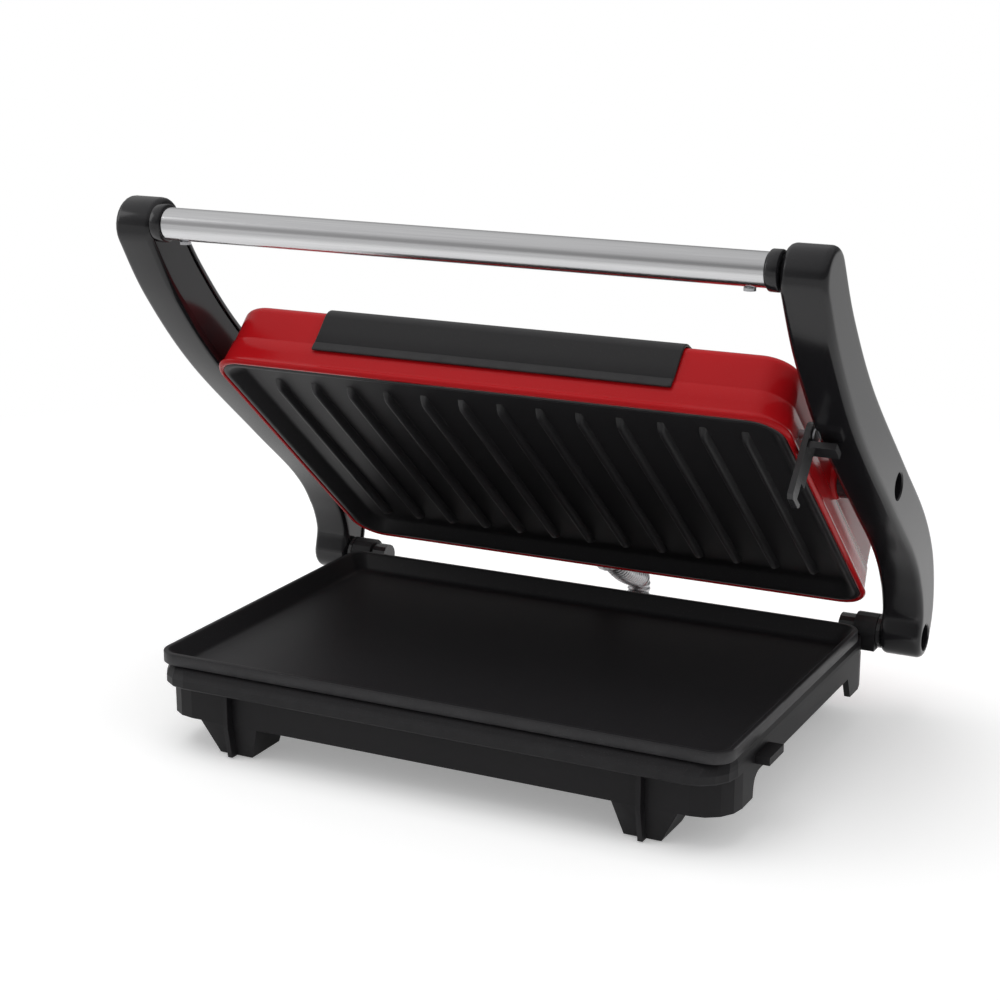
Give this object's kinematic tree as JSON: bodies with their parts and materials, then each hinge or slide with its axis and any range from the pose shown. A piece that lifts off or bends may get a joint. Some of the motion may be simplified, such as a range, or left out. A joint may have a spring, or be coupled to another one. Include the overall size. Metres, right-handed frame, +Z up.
{
  "type": "panini press",
  "caption": "Panini press, half open: low base with a flat cooking plate, ribbed plate under a floating lid, two curved side arms, tube handle, side latch and a conduit behind.",
  "frame": {"origin": "centre of the footprint, on the table, at rest", "axes": "+X to the press's right seen from the front, +Y to the hinge side at the back, +Z up"},
  "size_m": [0.286, 0.2128, 0.2144],
  "materials": {
    "housing_plastic": "matt",
    "arm_plastic": "gloss",
    "non_stick_plate": "dark non-stick coating, satin",
    "lid_gloss": "gloss",
    "accent_satin": "satin",
    "handle_metal": "bright, finely brushed",
    "foot_rubber": "matt",
    "shield_sheet": "rolled sheet",
    "insulator": "matt",
    "conduit_metal": "bright ribbed",
    "hardware_steel": "satin"
  },
  "bodies": {
    "base": {"base_housing": "housing_plastic", "bottom_cover": "housing_plastic", "conduit_ferrule_base": "conduit_metal", "conduit_lower": "conduit_metal", "cord_gland": "foot_rubber", "cover_screw_1": "hardware_steel", "cover_screw_2": "hardware_steel", "cover_screw_3": "hardware_steel", "cover_screw_4": "hardware_steel", "foot_pad_front_left": "foot_rubber", "foot_pad_front_right": "foot_rubber", "foot_pad_rear_left": "foot_rubber", "foot_pad_rear_right": "foot_rubber", "lower_heat_shield": "shield_sheet", "lower_heating_element": "hardware_steel", "lower_plate": "non_stick_plate", "terminal_block": "insulator", "thermal_fuse": "hardware_steel", "thermostat": "insulator"},
    "arms": {"handle_tube": "handle_metal", "left_arm": "arm_plastic", "left_arm_cover": "arm_plastic", "left_handle_collar": "arm_plastic", "left_handle_screw": "hardware_steel", "left_hinge_nut": "arm_plastic", "left_hinge_pin": "hardware_steel", "left_hinge_washer": "arm_plastic", "left_lid_pivot_nut": "hardware_steel", "left_lid_pivot_pin": "hardware_steel", "left_lid_pivot_washer": "arm_plastic", "right_arm": "arm_plastic", "right_arm_cover": "arm_plastic", "right_handle_collar": "arm_plastic", "right_handle_screw": "hardware_steel", "right_hinge_nut": "arm_plastic", "right_hinge_pin": "hardware_steel", "right_hinge_washer": "arm_plastic", "right_lid_pivot_nut": "hardware_steel", "right_lid_pivot_pin": "hardware_steel", "right_lid_pivot_washer": "arm_plastic"},
    "lid": {"lid_cover": "lid_gloss", "lid_accent_panel": "accent_satin", "upper_plate": "non_stick_plate", "upper_heating_element": "hardware_steel", "latch_pin": "hardware_steel", "conduit_ferrule_lid": "conduit_metal", "conduit_upper": "conduit_metal"},
    "latch": {"latch_clip": "arm_plastic"}
  },
  "joints": [
    {"name": "arm_hinge", "type": "hinge", "parent": "base", "child": "arms", "pos_m": [0, 0.06208, 0.0355], "axis": [-1, 0, 0], "range_deg": [-41, 55], "deforming": ["conduit_upper", "conduit_lower"]},
    {"name": "lid_pivot", "type": "hinge", "parent": "arms", "child": "lid", "pos_m": [0, 0.01211, 0.1114], "axis": [-1, 0, 0], "range_deg": [-0.8, 0.8], "deforming": ["conduit_upper"]},
    {"name": "latch_swing", "type": "hinge", "parent": "lid", "child": "latch", "pos_m": [0.1235, -0.03628, 0.13955], "axis": [1, 0, 0], "range_deg": [-25, 12]}
  ]
}
